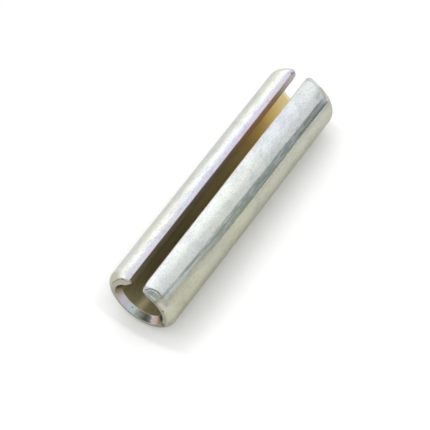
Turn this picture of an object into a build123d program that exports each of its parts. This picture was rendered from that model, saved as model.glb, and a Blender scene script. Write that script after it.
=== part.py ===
from build123d import *
import math
import os

# A slotted spring pin, also called a roll pin. It is one piece: a strip of
# spring steel with rounded and bevelled edges, rolled into a C, with both ends
# swaged to a rounded nose outside and a countersunk mouth inside. Driven into a
# slightly smaller hole, the C closes and its spring holds it there.
#
# Millimetres. The pin lies on its side along X with the slot straight up, which
# is how its weight turns it. The origin is on its axis, half way along.

# Driving dimensions
pin_length = 38.1           # one and a half inches, end face to end face
free_diameter = 9.87        # outside, before it is driven
strip_thickness = 1.956
slot_gap = 1.93             # between the strip's edges at the outside, before it is driven
lip_round = 0.22            # rounding of the slot's outer edges
lip_bevel = 0.90            # bevel of the slot's inner edges
nose_length = 1.15          # the swaged round, along the pin
nose_drop = 0.88            # how far the nose closes in, on the radius
mouth_depth = 0.82          # the countersink in the bore's mouth
end_land = 0.45             # width of the flat ring left on each end face

# What follows from them
outer_radius = free_diameter / 2
bore_radius = outer_radius - strip_thickness
slot_half_angle = math.asin(slot_gap / 2 / outer_radius)
land_outer_radius = outer_radius - nose_drop
land_inner_radius = land_outer_radius - end_land
end_x = pin_length / 2
nose_x = end_x - nose_length
mouth_x = end_x - mouth_depth


def rolled_strip():
    """The strip rolled into a C, its edges rounded outside and bevelled inside."""
    reach = 2 * free_diameter
    slot = Polygon(
        (0, 0),
        (reach * math.sin(slot_half_angle), reach * math.cos(slot_half_angle)),
        (-reach * math.sin(slot_half_angle), reach * math.cos(slot_half_angle)),
        align=None,
    )
    section = Circle(outer_radius) - Circle(bore_radius) - slot
    section = chamfer(section.vertices().sort_by(Axis.Y)[-4:-2], lip_bevel)
    section = fillet(section.vertices().sort_by(Axis.Y)[-2:], lip_round)
    return extrude(Plane.YZ * section, pin_length / 2, both=True)


def swaged_ends():
    """What both ends are swaged to: the wall's section along the pin, turned round the axis."""
    nose = TangentArc((nose_x, outer_radius), (end_x, land_outer_radius), tangent=(1, 0))
    land_and_mouth = Polyline(
        (end_x, land_outer_radius), (end_x, land_inner_radius), (mouth_x, bore_radius)
    )
    right_half = nose + land_and_mouth
    outside = Line((-nose_x, outer_radius), (nose_x, outer_radius))
    bore = Line((mouth_x, bore_radius), (-mouth_x, bore_radius))
    wall = make_face(right_half + outside + bore + mirror(right_half, Plane.YZ))
    return revolve(Plane.XZ * wall, axis=Axis.X)


pin = rolled_strip() & swaged_ends()

os.makedirs("parts", exist_ok=True)
export_step(pin, "parts/spring_pin.step")
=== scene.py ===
import math

import bpy
from mathutils import Matrix, Vector


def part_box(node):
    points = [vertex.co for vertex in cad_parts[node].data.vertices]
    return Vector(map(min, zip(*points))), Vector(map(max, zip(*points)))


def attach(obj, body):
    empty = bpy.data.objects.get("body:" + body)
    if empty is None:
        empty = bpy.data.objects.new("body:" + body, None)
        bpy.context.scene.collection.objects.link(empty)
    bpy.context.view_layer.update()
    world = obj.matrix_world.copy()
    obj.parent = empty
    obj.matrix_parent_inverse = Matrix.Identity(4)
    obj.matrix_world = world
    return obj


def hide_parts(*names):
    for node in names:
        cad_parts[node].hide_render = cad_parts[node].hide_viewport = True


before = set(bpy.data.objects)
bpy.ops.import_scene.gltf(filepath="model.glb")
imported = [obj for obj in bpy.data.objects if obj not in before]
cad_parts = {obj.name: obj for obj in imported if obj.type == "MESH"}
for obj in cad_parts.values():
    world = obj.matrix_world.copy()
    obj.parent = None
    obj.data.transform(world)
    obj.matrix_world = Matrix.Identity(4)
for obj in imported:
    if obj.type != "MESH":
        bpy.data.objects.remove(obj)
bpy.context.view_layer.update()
pin_low, pin_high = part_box("spring_pin")
MM = 0.001

# ---------------------------------------------------------------- camera
# A long lens on a stand, looking down on one end of the pin and into its slot.
camera_aim = Vector((-3.022, -0.722, 0.0)) * MM
camera_distance = 310.45 * MM
camera_azimuth = math.radians(217.35)
camera_elevation = math.radians(56.86)
camera_roll = math.radians(-4.37)
film_width = 36.0                       # millimetres, as the lens is
lens_length = 205.1

towards_camera = Vector((
    math.cos(camera_elevation) * math.cos(camera_azimuth),
    math.cos(camera_elevation) * math.sin(camera_azimuth),
    math.sin(camera_elevation),
))
turned = towards_camera.to_track_quat("Z", "Y").to_matrix() @ Matrix.Rotation(camera_roll, 3, "Z")
bpy.ops.object.camera_add()
camera = bpy.context.object
camera.name = "long_lens"
camera.data.sensor_width = film_width
camera.data.lens = lens_length
camera.data.clip_start = 10 * MM
camera.matrix_world = Matrix.Translation(camera_aim + towards_camera * camera_distance) @ turned.to_4x4()
bpy.context.scene.camera = camera

# ---------------------------------------------------------------- table
# A sheet of matt white card under the pin. Away from the pin the camera and the metal
# see it a touch brighter than its paint, by a painted glow that fades out near the pin and
# so paints a shadow round it. It still takes real shadows.
card_low = Vector((-60, -42, 0)) * MM
card_high = Vector((60, 36, 0)) * MM
card_paint = 0.93
card_painted_glow = 0.15
painted_glow_tint = (0.97, 0.97, 1)
painted_glow_from, painted_glow_full = 4.3 * MM, 9.0 * MM       # distances out from the pin's middle line
painted_glow_past_ends = 5.0                    # how many times sooner it comes past the pin's ends
painted_glow_towards_far_end = 0.05             # how much sooner it comes per length along the pin

bpy.ops.object.select_all(action="DESELECT")
bpy.ops.mesh.primitive_plane_add(size=1)
card = bpy.context.object
card.name = "white_card"
bpy.ops.object.mode_set(mode="EDIT")
bpy.ops.mesh.select_all(action="SELECT")
bpy.ops.transform.resize(value=(card_high.x - card_low.x, card_high.y - card_low.y, 1))
card_middle = (card_low + card_high) / 2
bpy.ops.transform.translate(value=(card_middle.x, card_middle.y, pin_low.z))
bpy.ops.object.mode_set(mode="OBJECT")


def fed(tree, node, numbers):
    """Gives a node its inputs in turn: each is a number, or a socket to link from."""
    for socket, number in zip(node.inputs, numbers):
        if isinstance(number, (int, float)):
            socket.default_value = number
        else:
            tree.links.new(number, socket)
    return node.outputs[0]


def reckon(tree, operation, *numbers):
    """One step of arithmetic in a node tree."""
    step = tree.nodes.new("ShaderNodeMath")
    step.operation = operation
    return fed(tree, step, numbers)


def how_far(tree, first, second):
    """How far off a point is whose two coordinates are given."""
    first_square = reckon(tree, "MULTIPLY", first, first)
    second_square = reckon(tree, "MULTIPLY", second, second)
    return reckon(tree, "SQRT", reckon(tree, "ADD", first_square, second_square))


def eased(tree, number, low, high, first, last):
    """Goes smoothly from first to last while the number goes from low to high."""
    step = tree.nodes.new("ShaderNodeMapRange")
    step.interpolation_type = "SMOOTHSTEP"
    return fed(tree, step, (number, low, high, first, last))


paper = bpy.data.materials.new("white_paper")
paper.use_nodes = True
paper_tree = paper.node_tree
paper_shader = paper_tree.nodes["Principled BSDF"]
paper_shader.inputs["Base Color"].default_value = (card_paint, card_paint, card_paint, 1)
paper_shader.inputs["Roughness"].default_value = 1.0
paper_shader.inputs["Specular IOR Level"].default_value = 0.0
paper_shader.inputs["Emission Color"].default_value = (*painted_glow_tint, 1)
paper_rays = paper_tree.nodes.new("ShaderNodeLightPath").outputs
seen = reckon(paper_tree, "MAXIMUM", paper_rays["Is Camera Ray"], paper_rays["Is Glossy Ray"])
paper_place = paper_tree.nodes.new("ShaderNodeTexCoord").outputs["Object"]
paper_axes = paper_tree.nodes.new("ShaderNodeSeparateXYZ")
paper_tree.links.new(paper_place, paper_axes.inputs[0])
along_card, across_card, _ = paper_axes.outputs
beside_pin = reckon(paper_tree, "ABSOLUTE", across_card)
past_end = reckon(paper_tree, "SUBTRACT", reckon(paper_tree, "ABSOLUTE", along_card), pin_high.x)
past_end = reckon(paper_tree, "MULTIPLY", reckon(paper_tree, "MAXIMUM", past_end, 0.0), painted_glow_past_ends)
outward = how_far(paper_tree, beside_pin, past_end)
outward = reckon(paper_tree, "MULTIPLY_ADD", along_card, painted_glow_towards_far_end, outward)
# Painted glow, only for the camera and the metal: none near the pin, a painted shadow round it
painted_glow = eased(paper_tree, outward, painted_glow_from, painted_glow_full, 0.0, card_painted_glow)
painted_glow = reckon(paper_tree, "MULTIPLY", seen, painted_glow)
paper_tree.links.new(painted_glow, paper_shader.inputs["Emission Strength"])
card.data.materials.append(paper)

# ---------------------------------------------------------------- studio light
# A pale room that fills the shadows, and one softbox overhead on the far side. What the
# metal mirrors of the room is brightest overhead and low on the far side, with an unlit
# gap low on the near side.
world = bpy.data.worlds.new("white_room")
bpy.context.scene.world = world
world.use_nodes = True
room = world.node_tree
background = room.nodes["Background"]
background.inputs["Color"].default_value = (1, 1, 1, 1)
direction = room.nodes.new("ShaderNodeTexCoord")
room_axes = room.nodes.new("ShaderNodeSeparateXYZ")
room.links.new(direction.outputs["Generated"], room_axes.inputs[0])
along, across, height = room_axes.outputs       # of a direction one unit long

fill_level = 1.07
wall_level = 1.0
ceiling_extra = 0.60
ceiling_for_near_end = 1.25             # how much brighter it is where the near end mirrors it
far_wall_extra = 0.65
far_wall_above = 0.2 * far_wall_extra   # what is left of it above the wall's top
far_wall_bottom = 0.45                  # the share of it at the wall's foot
gap_depth = 0.36
gap_for_near_end = 0.25 * gap_depth     # where the near end mirrors it
near_wall_lean = 0.27

# Soft edges, each from where it begins to where it ends: in height,
ceiling_foot = (0.72, 0.98)
far_wall_foot, far_wall_top = (-0.15, 0.10), (0.24, 0.46)
gap_foot, gap_top = (0.05, 0.12), (0.30, 0.56)
# across the room,
near_wall_side, gap_side, far_wall_side = (0.0, -0.30), (-0.50, -0.70), (0.40, 0.75)
# and along it
lean_end, ceiling_end, gap_end = (0.38, 0.49), (0.38, 0.43), (0.38, 0.47)

# The near wall leans, so what is on it sits lower where the pin's far end mirrors it
near_side = eased(room, across, *near_wall_side, 0.0, 1.0)
leaning = eased(room, along, *lean_end, 0.0, near_wall_lean)
near_height = reckon(room, "ADD", height, reckon(room, "MULTIPLY", near_side, leaning))

ceiling = eased(room, near_height, *ceiling_foot, 0.0, ceiling_extra)
ceiling_share = eased(room, along, *ceiling_end, ceiling_for_near_end, 1.0)
ceiling = reckon(room, "MULTIPLY", ceiling, ceiling_share)
far_wall = eased(room, height, *far_wall_top, far_wall_extra, far_wall_above)
far_wall = reckon(room, "MULTIPLY", far_wall, eased(room, height, *far_wall_foot, far_wall_bottom, 1.0))
far_wall = reckon(room, "MULTIPLY", far_wall, eased(room, across, *far_wall_side, 0.0, 1.0))
gap = eased(room, near_height, *gap_top, 1.0, 0.0)
gap = reckon(room, "MULTIPLY", gap, eased(room, near_height, *gap_foot, 0.0, 1.0))
gap = reckon(room, "MULTIPLY", gap, eased(room, along, *gap_end, gap_for_near_end, gap_depth))
gap = reckon(room, "MULTIPLY", gap, eased(room, across, *gap_side, 0.0, 1.0))
walls = reckon(room, "ADD", reckon(room, "ADD", ceiling, far_wall), wall_level)
mirrored = reckon(room, "MULTIPLY", walls, reckon(room, "SUBTRACT", 1.0, gap))

# Matt surfaces get the plain fill, the metal mirrors these walls, and the camera sees white
room_rays = room.nodes.new("ShaderNodeLightPath").outputs
mirrored_extra = reckon(room, "SUBTRACT", mirrored, fill_level)
lit = reckon(room, "MULTIPLY_ADD", room_rays["Is Glossy Ray"], mirrored_extra, fill_level)
white_extra = reckon(room, "SUBTRACT", 1.0, lit)
strength = reckon(room, "MULTIPLY_ADD", room_rays["Is Camera Ray"], white_extra, lit)
room.links.new(strength, background.inputs["Strength"])

softbox_place = Vector((180, 170, 380)) * MM
bpy.ops.object.light_add(type="AREA")
softbox = bpy.context.object
softbox.name = "softbox"
softbox.data.shape = "RECTANGLE"
softbox.data.size = 300 * MM
softbox.data.size_y = 240 * MM
softbox.data.energy = 0.12
softbox_turned = softbox_place.to_track_quat("Z", "Y").to_matrix().to_4x4()
softbox.matrix_world = Matrix.Translation(softbox_place) @ softbox_turned

# ---------------------------------------------------------------- rolled pin
# One strip of spring steel, its slot edges rounded outside and bevelled inside, its
# ends swaged to a round nose and a countersunk mouth, rolled into a C and zinc plated.
# It is shaped here as in the shop: first as a flat strip on its edge, then rolled.
pin_length = pin_high.x - pin_low.x
outer_radius = (pin_high.y - pin_low.y) / 2
strip_thickness = 1.956 * MM
slot_gap = 1.93 * MM
lip_round = 0.22 * MM
lip_bevel = 0.90 * MM
nose_length = 1.15 * MM
nose_drop = 0.88 * MM
mouth_depth = 0.82 * MM
end_land = 0.45 * MM
near_end, far_end = -1, 1               # the signs of x at the ends,
left_lip, right_lip = -1, 1             # and of z at the flat strip's lips

wrap_angle = 2 * math.pi - 2 * math.asin(slot_gap / 2 / outer_radius)
middle_radius = outer_radius - strip_thickness / 2
bore_radius = outer_radius - strip_thickness
strip_width = wrap_angle * middle_radius
end_x = pin_length / 2
outside_y = -strip_thickness / 2
inside_y = strip_thickness / 2
lip_z = strip_width / 2                 # the lips lie at +lip_z and -lip_z
bevel_reach = lip_bevel * middle_radius / bore_radius      # along the flat strip
cut_tolerance = 0.0001 * MM

bpy.ops.object.select_all(action="DESELECT")
bpy.ops.mesh.primitive_cube_add(size=1)
pin = bpy.context.object
pin.name = "rolled_spring_pin"
bpy.ops.object.mode_set(mode="EDIT")
bpy.ops.mesh.select_all(action="SELECT")
bpy.ops.transform.resize(value=(pin_length, strip_thickness, strip_width))
for lip in (left_lip, right_lip):
    bpy.ops.mesh.select_all(action="SELECT")
    bpy.ops.mesh.bisect(
        plane_co=(0, inside_y, lip * (lip_z - bevel_reach)),
        plane_no=Vector((0, bevel_reach, lip * lip_bevel)).normalized(),
        threshold=cut_tolerance,
        clear_outer=True,
        use_fill=True,
    )


def line_across(normal, place):
    """Cuts one line round the whole strip, square to the normal."""
    bpy.ops.mesh.select_all(action="SELECT")
    bpy.ops.mesh.bisect(plane_co=Vector(normal) * place, plane_no=normal, threshold=cut_tolerance)


# Lines lie close together at the ends and the lips, in millimetres from them, and evenly
# in between. In the wall they lie beside each edge, so that smoothing keeps it crisp.
plain_from_end, plain_from_lip = 1.5 * MM, 4.7 * MM
plain_length = pin_length - 2 * plain_from_end
plain_steps = 20
for step in range(plain_steps + 1):
    line_across((1, 0, 0), plain_length * (step / plain_steps - 0.5))
end_lines = [0.05, 0.18, 0.35, 0.5, 0.65, 0.76, 0.82, 0.88, 1.0, 1.15, 1.3]
for from_end in end_lines:
    line_across((1, 0, 0), end_x - from_end * MM)
    line_across((1, 0, 0), from_end * MM - end_x)
lip_lines = [0.07, 0.22, 0.5, 0.8, 1.06, bevel_reach / MM, 1.34, 1.7, 2.1, 2.5, 2.9, 3.3, 3.7, 4.1]
for from_lip in lip_lines:
    line_across((0, 0, 1), lip_z - from_lip * MM)
    line_across((0, 0, 1), from_lip * MM - lip_z)
plain_width = strip_width - 2 * plain_from_lip
roll_steps = 20
for step in range(roll_steps + 1):
    line_across((0, 0, 1), plain_width * (step / roll_steps - 0.5))
beside_corner = 0.07 * MM
beside_bevel = 0.09 * MM
mid_face = -0.35 * MM
wall_lines = [
    outside_y + beside_corner,
    outside_y + lip_round,
    mid_face,
    inside_y - lip_bevel - beside_bevel,
    inside_y - lip_bevel,
    inside_y - beside_bevel,
]
for height_in_wall in wall_lines:
    line_across((0, 1, 0), height_in_wall)
bpy.ops.object.mode_set(mode="OBJECT")


def choose(test):
    """Selects the strip's points that pass the test, and goes to edit mode."""
    bpy.ops.object.mode_set(mode="EDIT")
    bpy.ops.mesh.select_mode(type="VERT")
    bpy.ops.mesh.select_all(action="DESELECT")
    bpy.ops.object.mode_set(mode="OBJECT")
    for point in pin.data.vertices:
        point.select = test(point.co)
    bpy.ops.object.mode_set(mode="EDIT")


# Swaged ends: each column of points is thinned and pushed in as the die leaves it. A
# free lip springs back from the die by a share of the nose's drop, which fades out over
# a few millimetres from the lip. The near mouth is a little off centre.
nose_bend = (nose_length ** 2 + nose_drop ** 2) / (2 * nose_drop)
mouth_rise = strip_thickness - nose_drop - end_land
spring_back = {
    (near_end, left_lip): (0.97, 4.0),
    (near_end, right_lip): (0.30, 1.0),
    (far_end, left_lip): (0.45, 3.0),
    (far_end, right_lip): (0.30, 2.0),
}
mouth_off_centre = {near_end: 0.30, far_end: 0.0}


def swaged(end, lip, from_end, from_lip):
    """How far a column's outside and inside are pushed towards the wall's middle."""
    along_nose = max(0.0, nose_length - from_end)
    outside = nose_bend - math.sqrt(nose_bend ** 2 - along_nose ** 2)
    share, reach = spring_back[end, lip]
    free = max(0.0, 1 - from_lip / (reach * MM))
    outside *= 1 - share * free * free * (3 - 2 * free)
    inside = mouth_rise * max(0.0, 1 - from_end / mouth_depth)
    from_slot = (math.pi - wrap_angle / 2) + from_lip / middle_radius
    inside *= 1 - mouth_off_centre[end] * math.cos(from_slot)
    return outside, inside


on_line = 0.01 * MM                     # how close a point is to a line that it lies on
across_lines = sorted({round(point.co.z, 7) for point in pin.data.vertices})
for from_end in [0.0] + end_lines:
    for end in (near_end, far_end):
        column = end * (end_x - from_end * MM)
        for line in across_lines:
            lip = left_lip if line < 0 else right_lip
            outside_drop, inside_drop = swaged(end, lip, from_end * MM, lip_z - abs(line))
            choose(lambda co: abs(co.x - column) < on_line and abs(co.z - line) < on_line)
            thinned = (strip_thickness - outside_drop - inside_drop) / strip_thickness
            bpy.ops.transform.resize(value=(1, thinned, 1), center_override=(column, 0, 0))
            bpy.ops.transform.translate(value=(0, (outside_drop - inside_drop) / 2, 0))
bpy.ops.object.mode_set(mode="OBJECT")

# The strip's corners are rounded off, each by its own radius in millimetres
corners = [
    (near_end, left_lip, 0.18),
    (near_end, right_lip, 0.35),
    (far_end, left_lip, 0.90),
    (far_end, right_lip, 0.40),
]
corner_length = 3.0 * MM                # the stretch at the end that gives way
for end, lip, corner_round in corners:
    for from_lip in [0.0] + lip_lines:
        if from_lip >= corner_round:
            continue
        cut_back = corner_round - math.sqrt(corner_round ** 2 - (corner_round - from_lip) ** 2)
        choose(
            lambda co: co.x * end > end_x - corner_length
            and abs(co.z - lip * (lip_z - from_lip * MM)) < on_line
        )
        bpy.ops.transform.resize(
            value=(1 - cut_back * MM / corner_length, 1, 1),
            center_override=(end * (end_x - corner_length), 0, 0),
        )
bpy.ops.object.mode_set(mode="OBJECT")

smoothing = pin.modifiers.new("forming", "SUBSURF")
smoothing.levels = 2
smoothing.render_levels = 2
bpy.ops.object.modifier_apply(modifier=smoothing.name)

# The near end of the right lip was caught by the die, which left a shallow hollow
# with a sharp upper edge: pushed in a little at a time, over less of it each time
hollow_from_end, hollow_from_lip = -0.25 * MM, 1.45 * MM
hollow_length, hollow_width = 1.06 * MM, 1.15 * MM
hollow_depth = 0.30 * MM
hollow_pushes = 6
hollow_narrowing = 0.03                 # each push reaches this much less far
hollow_rim = 1.06                       # what is smoothed, against the hollow's own size


def in_hollow(co, size):
    """Whether a point of the strip's outside lies in the hollow, or in that size of it."""
    return co.y < 0 and co.x < 0 and co.z > 0 and math.hypot(
        (end_x + co.x - hollow_from_end) / hollow_length,
        (lip_z - co.z - hollow_from_lip) / hollow_width,
    ) < size


for push in range(hollow_pushes):
    choose(lambda co: in_hollow(co, 1 - hollow_narrowing * push))
    bpy.ops.transform.translate(value=(0, hollow_depth / hollow_pushes, 0))
choose(lambda co: in_hollow(co, hollow_rim))
bpy.ops.mesh.vertices_smooth(factor=0.5, repeat=1)
bpy.ops.object.mode_set(mode="OBJECT")

# Rolled into a C, and turned so that the slot is on top
rolling = pin.modifiers.new("rolling", "SIMPLE_DEFORM")
rolling.deform_method = "BEND"
rolling.deform_axis = "X"
rolling.angle = wrap_angle
bpy.ops.object.modifier_apply(modifier=rolling.name)
bpy.ops.object.mode_set(mode="EDIT")
bpy.ops.mesh.select_all(action="SELECT")
bpy.ops.transform.translate(value=(0, -middle_radius, 0))
bpy.ops.object.mode_set(mode="OBJECT")
pin.rotation_euler = (math.radians(90), 0, 0)
bpy.ops.object.transform_apply(location=True, rotation=True, scale=True)
bpy.ops.object.shade_smooth()

# Zinc plate under a thin passivation, silvery with patches that lean to lavender or straw,
# finely speckled, darker low down as painted shade, with a painted dark reflection along
# the right flank, and dull in the bore. Its places are in millimetres, or in degrees round
# the pin: 0 at the slot, and positive on the right.
plating = bpy.data.materials.new("zinc_plate")
plating.use_nodes = True
plate = plating.node_tree
plating_shader = plate.nodes["Principled BSDF"]


def tinted(colour, tint, share):
    """Multiplies a colour by a tint, by as much as the share says."""
    step = plate.nodes.new("ShaderNodeMix")
    step.data_type = "RGBA"
    step.blend_type = "MULTIPLY"
    plate.links.new(share, step.inputs[0])
    plate.links.new(colour, step.inputs[6])
    step.inputs[7].default_value = (*tint, 1)
    return step.outputs[2]


def blended(first, second, share):
    """Goes from one colour to another; each may be a socket."""
    step = plate.nodes.new("ShaderNodeMix")
    step.data_type = "RGBA"
    plate.links.new(share, step.inputs[0])
    for socket, colour in ((step.inputs[6], first), (step.inputs[7], second)):
        if isinstance(colour, tuple):
            socket.default_value = (*colour, 1)
        else:
            plate.links.new(colour, socket)
    return step.outputs[2]


def rising(number, start, end):
    """A share that goes smoothly from 0 to 1 while the number goes from start to end."""
    return eased(plate, number, start, end, 0.0, 1.0)


def around_place(number, place, whole, gone):
    """A share that is 1 within whole of the place and has faded to 0 at gone from it."""
    off = reckon(plate, "ABSOLUTE", reckon(plate, "SUBTRACT", number, place))
    return eased(plate, off, whole, gone, 1.0, 0.0)


def both(first, second):
    """The share that is left where two shares both hold."""
    return reckon(plate, "MULTIPLY", first, second)


object_place = plate.nodes.new("ShaderNodeTexCoord").outputs["Object"]
in_mm = plate.nodes.new("ShaderNodeVectorMath")
in_mm.operation = "SCALE"
in_mm.inputs["Scale"].default_value = 1 / MM
plate.links.new(object_place, in_mm.inputs[0])
place_mm = in_mm.outputs[0]
plate_axes = plate.nodes.new("ShaderNodeSeparateXYZ")
plate.links.new(place_mm, plate_axes.inputs[0])
x_mm, y_mm, z_mm = plate_axes.outputs
from_middle = reckon(plate, "ABSOLUTE", x_mm)
from_slot_middle = reckon(plate, "ABSOLUTE", y_mm)
from_axis = how_far(plate, y_mm, z_mm)
angle = reckon(plate, "ARCTAN2", reckon(plate, "MULTIPLY", y_mm, -1.0), z_mm)
angle = reckon(plate, "DEGREES", angle)
off_slot = reckon(plate, "ABSOLUTE", angle)


def mottled(size, stretch=1.0, detail=2.0):
    """A soft noise whose blots are about size mm, longer along the pin by the stretch."""
    scaled = plate.nodes.new("ShaderNodeMapping")
    scaled.inputs["Scale"].default_value = (1 / stretch, 1, 1)
    plate.links.new(place_mm, scaled.inputs["Vector"])
    noise = plate.nodes.new("ShaderNodeTexNoise")
    noise.inputs["Scale"].default_value = 1 / size
    noise.inputs["Detail"].default_value = detail
    plate.links.new(scaled.outputs[0], noise.inputs["Vector"])
    return noise.outputs[0]


def wander(noise, reach):
    """Turns a noise into a shift of up to reach either way."""
    return reckon(plate, "MULTIPLY_ADD", noise, 2 * reach, -reach)


# The outside: cool on the right of the slot, lavender on the left lip, straw low down
# and on the noses, where the straw is darker than the silver as painted shade
silver = (0.64, 0.65, 0.62)
cool_silver = (0.62, 0.65, 0.64)
lavender = (0.64, 0.65, 0.70)
near_shaded_straw = (0.485, 0.483, 0.392)
far_shaded_straw = (0.505, 0.51, 0.428)
highlight_tip = (0.84, 0.84, 0.85)
shaded_straw = blended(near_shaded_straw, far_shaded_straw, rising(x_mm, -12.0, 12.0))
plate_colour = blended(silver, cool_silver, rising(angle, -10.0, 10.0))
left_lip_share = both(rising(angle, -34.0, -24.0), rising(angle, 5.0, 0.0))
plate_colour = blended(plate_colour, lavender, left_lip_share)
by_left_edge = both(left_lip_share, rising(angle, -26.0, -16.0))
plate_colour = tinted(plate_colour, (0.97, 0.96, 1.04), by_left_edge)
pink_stretch = both(by_left_edge, around_place(x_mm, 9.0, 3.0, 8.0))
plate_colour = tinted(plate_colour, (1.03, 0.955, 1.02), pink_stretch)
shaded_straw_edge = reckon(plate, "MULTIPLY_ADD", x_mm, -0.35, angle)     # its edge climbs along the pin
plate_colour = blended(plate_colour, shaded_straw, rising(shaded_straw_edge, 52.0, 60.0))
plate_colour = blended(plate_colour, shaded_straw, rising(angle, -90.0, -130.0))
on_nose = both(rising(from_middle, 17.8, 18.5), rising(off_slot, 24.0, 44.0))
plate_colour = blended(plate_colour, shaded_straw, on_nose)
# Painted highlight: the far tip of the right lip is paler
right_tip_highlight = both(rising(x_mm, 17.9, 18.5), around_place(angle, 20.0, 10.0, 18.0))
plate_colour = blended(plate_colour, highlight_tip, right_tip_highlight)
# Painted shade: the crest is a touch darker towards the far end
far_crest_shade = both(rising(x_mm, -6.0, 10.0), around_place(angle, 22.0, 8.0, 16.0))
plate_colour = tinted(plate_colour, (0.87, 0.88, 0.91), far_crest_shade)

patches = mottled(5.0, stretch=2.5)
plate_colour = tinted(plate_colour, (0.99, 0.96, 1.0), rising(patches, 0.50, 0.66))
plate_colour = tinted(plate_colour, (1.0, 0.99, 0.94), rising(patches, 0.50, 0.36))
blots = mottled(1.4, stretch=1.6, detail=3.0)
plate_colour = tinted(plate_colour, (0.90, 0.91, 0.92), rising(blots, 0.46, 0.66))
speckle = mottled(0.16, stretch=1.6)
plate_colour = tinted(plate_colour, (0.87, 0.88, 0.86), rising(speckle, 0.44, 0.74))
grit = mottled(0.42, stretch=2.2, detail=1.0)
plate_colour = tinted(plate_colour, (0.88, 0.90, 0.88), rising(grit, 0.56, 0.72))

# A dark band runs the length of the right flank, a painted reflection of the room's unlit
# gap: a dark core that climbs towards the lip at the near end, in a paler band that narrows
# and dies out there
core_middle, core_climb = 51.9, 0.43    # degrees from the slot, and per millimetre along
core_width = (1.2, 3.6)                 # degrees off, where it is still whole and where gone
core_wander = 3.2
upper_middle, upper_climb = 46.0, 0.21
lower_at_near_end, lower_beyond = 48.5, 61.4
edge_wander = 1.5
upper_line_in, lower_line_in = 1.6, 1.8         # two dark lines, inside the band's edges
line_width = (0.5, 1.3)
reflection_band_tint = (0.50, 0.565, 0.53)
reflection_line_tint = (0.62, 0.68, 0.68)
core_place = reckon(plate, "MULTIPLY_ADD", x_mm, core_climb, core_middle)
core_place = reckon(plate, "ADD", core_place, wander(mottled(2.4, stretch=2.0), core_wander))
short_of_far_end = rising(x_mm, 18.0, 17.0)
core = around_place(angle, core_place, *core_width)
core = both(core, eased(plate, x_mm, -18.5, -12.0, 0.75, 1.0))
core = both(core, short_of_far_end)
ragged_angle = reckon(plate, "ADD", angle, wander(mottled(0.5, stretch=2.0), edge_wander))
upper_edge = reckon(plate, "MULTIPLY_ADD", x_mm, upper_climb, upper_middle)
below_upper = reckon(plate, "SUBTRACT", ragged_angle, upper_edge)
lower_edge = eased(plate, x_mm, -18.0, -5.0, lower_at_near_end, lower_beyond)
above_lower = reckon(plate, "SUBTRACT", lower_edge, ragged_angle)
band = both(eased(plate, below_upper, -1.8, 2.2, 0.0, 0.9), rising(above_lower, -0.6, 0.6))
band = both(band, both(eased(plate, x_mm, -15.0, 0.0, 0.1, 1.0), short_of_far_end))
dashes = mottled(0.45, stretch=3.5, detail=3.0)
painted_reflection = both(reckon(plate, "MAXIMUM", core, band), eased(plate, dashes, 0.66, 0.46, 0.45, 1.0))
plate_colour = tinted(plate_colour, reflection_band_tint, painted_reflection)
# The band's two dark lines are painted reflection too
upper_line = around_place(below_upper, upper_line_in, *line_width)
lower_line = around_place(above_lower, lower_line_in, *line_width)
lines = both(band, reckon(plate, "MAXIMUM", upper_line, lower_line))
plate_colour = tinted(plate_colour, reflection_line_tint, both(lines, rising(dashes, 0.42, 0.56)))
# Painted shade: the flank just below the band is a touch darker over the far half
shade_below_band = both(around_place(angle, 64.5, 3.0, 7.0), rising(x_mm, -5.0, 3.0))
plate_colour = tinted(plate_colour, (0.89, 0.90, 0.89), shade_below_band)

# The near countersink's colour changes round it, in degrees from the slot: the plating's
# tints with painted reflections, and painted shade, nearly black, at the bottom. The far one
# is golden, and the flat land of each end is brownish, greyer low down.
golden_plate = (0.80, 0.67, 0.34)
land_by_slot = (0.42, 0.38, 0.325)
land_low_down = (0.33, 0.325, 0.27)
mouth_wall = (3.80, 3.70)               # soft edges, in millimetres from the pin's axis
mouth_bottom, land_edge = (18.20, 18.26), (18.99, 19.03)        # and from its middle
mouth_tints_and_painted_light = [
    (-180.0, (0.14, 0.15, 0.13)),
    (-168.0, (0.27, 0.29, 0.27)),
    (-158.0, (0.42, 0.49, 0.48)),
    (-145.0, (0.44, 0.49, 0.54)),
    (-128.0, (0.42, 0.42, 0.45)),
    (-108.0, (0.40, 0.33, 0.35)),
    (-93.0, (0.28, 0.22, 0.14)),
    (-75.0, (0.20, 0.16, 0.08)),
    (75.0, (0.22, 0.18, 0.08)),
    (128.0, (0.30, 0.22, 0.12)),
    (137.0, (0.40, 0.31, 0.26)),
    (147.0, (0.42, 0.34, 0.35)),
    (155.0, (0.28, 0.25, 0.26)),
    (162.0, (0.08, 0.08, 0.075)),
    (172.0, (0.055, 0.065, 0.05)),
]
ring = plate.nodes.new("ShaderNodeValToRGB")
ring_colours = ring.color_ramp.elements
for stop in ring_colours:               # the ramp's two ends meet at the bottom
    stop.color = (*mouth_tints_and_painted_light[0][1], 1)
for tint_angle, tint in mouth_tints_and_painted_light[1:]:
    ring_colours.new(tint_angle / 360 + 0.5).color = (*tint, 1)
ring_place = reckon(plate, "MULTIPLY_ADD", angle, 1 / 360, 0.5)
ring_place = reckon(plate, "ADD", ring_place, wander(mottled(0.7), 0.03))
plate.links.new(ring_place, ring.inputs[0])
in_mouth = both(rising(from_axis, *mouth_wall), rising(from_middle, *mouth_bottom))
plate_colour = blended(plate_colour, ring.outputs[0], in_mouth)
plate_colour = blended(plate_colour, golden_plate, both(in_mouth, rising(x_mm, -1.0, 1.0)))
land_colour = blended(land_by_slot, land_low_down, rising(off_slot, 60.0, 100.0))
plate_colour = blended(plate_colour, land_colour, rising(from_middle, *land_edge))

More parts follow.
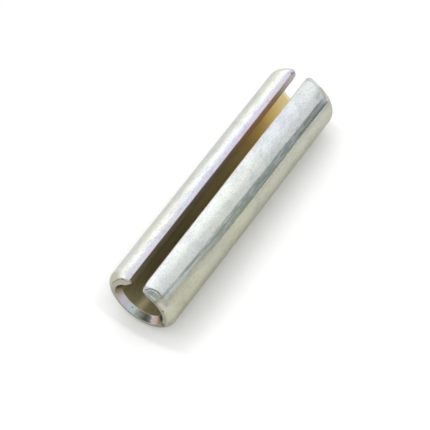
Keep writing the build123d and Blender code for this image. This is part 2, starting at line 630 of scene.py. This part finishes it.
# The bore is dull and olive brown, golden towards the far end. The slot's faces are
# brown on the left lip, orange and then grey towards the far end, and grey on the right.
bore_olive = (0.43, 0.39, 0.24)
bore_pale = (0.60, 0.53, 0.33)
face_grey = (0.46, 0.45, 0.46)
face_brown = (0.33, 0.285, 0.20)
face_orange = (0.50, 0.34, 0.19)
face_grey_tip = (0.50, 0.44, 0.45)
bore_wall, bore_end = (3.60, 3.40), (18.30, 18.20)      # from the pin's axis, and its middle
slot_side, slot_bottom = (1.06, 0.99), (2.6, 3.0)       # from the slot's middle, and the axis
in_bore = both(rising(from_axis, *bore_wall), rising(from_middle, *bore_end))
plate_colour = blended(plate_colour, bore_olive, in_bore)
plate_colour = blended(plate_colour, bore_pale, both(in_bore, rising(x_mm, -12.0, 6.0)))
plate_colour = blended(plate_colour, golden_plate, both(in_bore, rising(x_mm, 7.0, 15.5)))
stains = rising(mottled(2.6, stretch=2.0, detail=1.0), 0.40, 0.66)
plate_colour = tinted(plate_colour, (0.90, 0.87, 0.85), both(in_bore, stains))
in_slot = both(rising(from_slot_middle, *slot_side), rising(z_mm, *slot_bottom))
left_face = both(in_slot, rising(y_mm, -0.1, 0.1))
plate_colour = blended(plate_colour, face_grey, in_slot)
plate_colour = blended(plate_colour, face_brown, left_face)
orange_part = both(both(left_face, rising(x_mm, 1.0, 7.0)), rising(x_mm, 15.0, 11.0))
plate_colour = blended(plate_colour, face_orange, orange_part)
plate_colour = blended(plate_colour, face_grey_tip, both(left_face, rising(x_mm, 13.0, 17.0)))

# Each rounding between a slot face and the outside has a thin darker pinkish line, partly
# the plating's pink tint and partly painted shade, and the right one has more painted shade
# along the near half
rounding_middle, rounding_width = 1.02, (0.04, 0.09)    # millimetres from the slot's middle
rounding_bottom = (4.2, 4.4)            # and from the pin's axis
on_rounding = around_place(from_slot_middle, rounding_middle, *rounding_width)
on_rounding = both(on_rounding, rising(z_mm, *rounding_bottom))
broken_line = both(on_rounding, eased(plate, dashes, 0.35, 0.55, 0.4, 1.0))
plate_colour = tinted(plate_colour, (0.80, 0.66, 0.68), broken_line)
right_rounding = both(on_rounding, rising(y_mm, 0.1, -0.1))
near_half = rising(x_mm, 2.0, -4.0)
plate_colour = tinted(plate_colour, (0.66, 0.66, 0.60), both(right_rounding, near_half))

# Small marks, each a short stroke from one place to another with a radius and a colour:
# the facet in the hollow, darker as painted shade, a painted shadow along the hollow's
# edge, the burr round the near mouth, pits, a smudge on the nose, a nick on the far lip
# and two dark lines in the band, painted reflection like the band
facet_shade = (0.255, 0.30, 0.28)
burr_and_shade_dark = (0.11, 0.11, 0.09)
rim_brown = (0.25, 0.22, 0.185)
strokes = [
    # the hollow's facet: painted shade
    ((-18.83, -1.51, 3.94), (-18.66, -1.98, 3.88), 0.36, facet_shade),
    ((-18.66, -1.98, 3.88), (-18.57, -2.70, 3.55), 0.40, facet_shade),
    # painted shadow along the hollow's sharp upper edge
    ((-18.93, -1.23, 4.25), (-18.76, -1.42, 4.34), 0.09, burr_and_shade_dark),
    ((-18.76, -1.42, 4.34), (-18.56, -1.66, 4.39), 0.09, burr_and_shade_dark),
    ((-18.56, -1.66, 4.39), (-18.41, -1.92, 4.37), 0.09, burr_and_shade_dark),
    ((-18.41, -1.92, 4.37), (-18.29, -2.28, 4.25), 0.09, burr_and_shade_dark),
    ((-18.29, -2.28, 4.25), (-18.23, -2.68, 4.08), 0.09, burr_and_shade_dark),
    ((-18.23, -2.68, 4.08), (-18.27, -3.05, 3.80), 0.10, burr_and_shade_dark),
    ((-18.27, -3.05, 3.80), (-18.38, -3.33, 3.50), 0.07, rim_brown),
    ((-19.02, -3.72, 1.70), (-19.05, -3.80, 1.55), 0.13, burr_and_shade_dark),
    ((-19.05, -2.60, 2.88), (-19.05, -2.78, 2.72), 0.09, burr_and_shade_dark),
    ((-18.60, -3.92, 2.55), (-18.45, -4.02, 2.70), 0.24, (0.38, 0.35, 0.39)),
    ((-18.98, -1.66, 3.57), (-19.05, -2.69, 2.80), 0.07, (0.22, 0.22, 0.20)),
    ((-19.05, -2.69, 2.80), (-19.05, -3.40, 1.80), 0.07, (0.22, 0.22, 0.20)),
    ((-19.05, -3.40, 1.80), (-19.05, -3.75, 0.60), 0.07, (0.24, 0.22, 0.22)),
    ((-19.05, -3.35, -1.50), (-19.05, -3.55, -1.85), 0.24, (0.14, 0.10, 0.06)),
    ((-19.05, -3.50, -1.95), (-18.98, -3.60, -2.30), 0.26, burr_and_shade_dark),
    ((-19.02, -3.60, -2.30), (-19.02, -2.70, -3.25), 0.10, burr_and_shade_dark),
    ((-19.05, 3.85, 1.60), (-19.05, 3.20, 2.75), 0.09, rim_brown),
    ((-19.05, 3.20, 2.75), (-19.05, 2.62, 3.66), 0.10, rim_brown),
    ((-19.05, 2.62, 3.66), (-19.05, 1.98, 4.18), 0.11, rim_brown),
    ((-19.05, 2.10, 4.12), (-19.05, 1.86, 4.20), 0.16, (0.05, 0.045, 0.045)),
    ((-19.05, 1.98, 4.18), (-19.05, 1.30, 4.18), 0.09, rim_brown),
    ((-18.50, 1.56, -2.84), (-18.52, 1.50, -2.88), 0.08, burr_and_shade_dark),
    ((18.15, 1.02, 4.68), (17.90, 1.10, 4.74), 0.16, (0.22, 0.22, 0.22)),
    ((17.70, -3.20, 3.75), (17.10, -3.30, 3.66), 0.26, (0.44, 0.48, 0.46)),
    # the band's two dark lines near the far end: painted reflection
    ((17.96, -4.32, 2.39), (14.62, -4.24, 2.53), 0.10, burr_and_shade_dark),
    ((14.62, -4.24, 2.53), (11.45, -4.2, 2.58), 0.075, (0.16, 0.18, 0.165)),
    ((16.48, -3.77, 3.18), (13.06, -3.94, 2.97), 0.075, (0.20, 0.22, 0.20)),
]
stroke_cover = 0.85                     # how much of the plate's own colour a stroke hides
soft_from, soft_to = 0.3, 1.5           # its soft edge, in radii from its middle line
ragged_reach = 0.15                     # how far its edge wanders
fine_radius = 0.25                      # thinner strokes are less ragged


def reckon_place(operation, first, second):
    """One step of arithmetic on two places; each may be a socket."""
    step = plate.nodes.new("ShaderNodeVectorMath")
    step.operation = operation
    for socket, place in zip(step.inputs, (first, second)):
        if isinstance(place, (tuple, Vector)):
            socket.default_value = place
        else:
            plate.links.new(place, socket)
    return step.outputs


ragged = wander(mottled(0.25, detail=3.0), ragged_reach)
for start, end, radius, colour in strokes:
    stroke = Vector(end) - Vector(start)
    past_start = reckon_place("SUBTRACT", place_mm, start)["Vector"]
    along_stroke = reckon_place("DOT_PRODUCT", past_start, stroke / stroke.length_squared)["Value"]
    along_stroke = reckon(plate, "MINIMUM", reckon(plate, "MAXIMUM", along_stroke, 0.0), 1.0)
    nearest = reckon_place("MULTIPLY", stroke, along_stroke)["Vector"]
    away = reckon_place("DISTANCE", past_start, nearest)["Value"]
    unevenness = reckon(plate, "MULTIPLY", ragged, min(1.0, radius / fine_radius))
    away = reckon(plate, "ADD", away, unevenness)
    covered = eased(plate, away, soft_from * radius, soft_to * radius, stroke_cover, 0.0)
    plate_colour = blended(plate_colour, colour, covered)
plate.links.new(plate_colour, plating_shader.inputs["Base Color"])

# The bore and the slot's faces are duller than the outside
plain_roughness, blot_roughness = 0.13, 0.19
speckle_roughness = 0.08                # what the speckle adds
dull_roughness = 0.24                   # what the bore and the slot's faces add
dull_metallic = -0.30
dull = reckon(plate, "MAXIMUM", in_bore, in_slot)
metallic = reckon(plate, "MULTIPLY_ADD", dull, dull_metallic, 1.0)
plate.links.new(metallic, plating_shader.inputs["Metallic"])
roughness = eased(plate, blots, 0.35, 0.65, plain_roughness, blot_roughness)
speckled = eased(plate, speckle, 0.50, 0.72, 0.0, speckle_roughness)
roughness = reckon(plate, "ADD", roughness, speckled)
roughness = reckon(plate, "MULTIPLY_ADD", dull, dull_roughness, roughness)
plate.links.new(roughness, plating_shader.inputs["Roughness"])

# The plate is gently uneven and finely grained; the heights are in millimetres
wave_height = 0.012
grain_height = 0.0026
waves = reckon(plate, "MULTIPLY", mottled(2.2, stretch=1.5, detail=1.0), wave_height)
relief_height = reckon(plate, "MULTIPLY_ADD", mottled(0.22), grain_height, waves)
relief = plate.nodes.new("ShaderNodeBump")
relief.inputs["Distance"].default_value = MM
plate.links.new(relief_height, relief.inputs["Height"])
plate.links.new(relief.outputs[0], plating_shader.inputs["Normal"])

plating_shader.inputs["Specular Tint"].default_value = (0.75, 0.76, 0.72, 1)
pin.data.materials.append(plating)

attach(pin, "root")
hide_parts("spring_pin")

# ---------------------------------------------------------------- colour view
bpy.context.scene.view_settings.view_transform = "Standard"
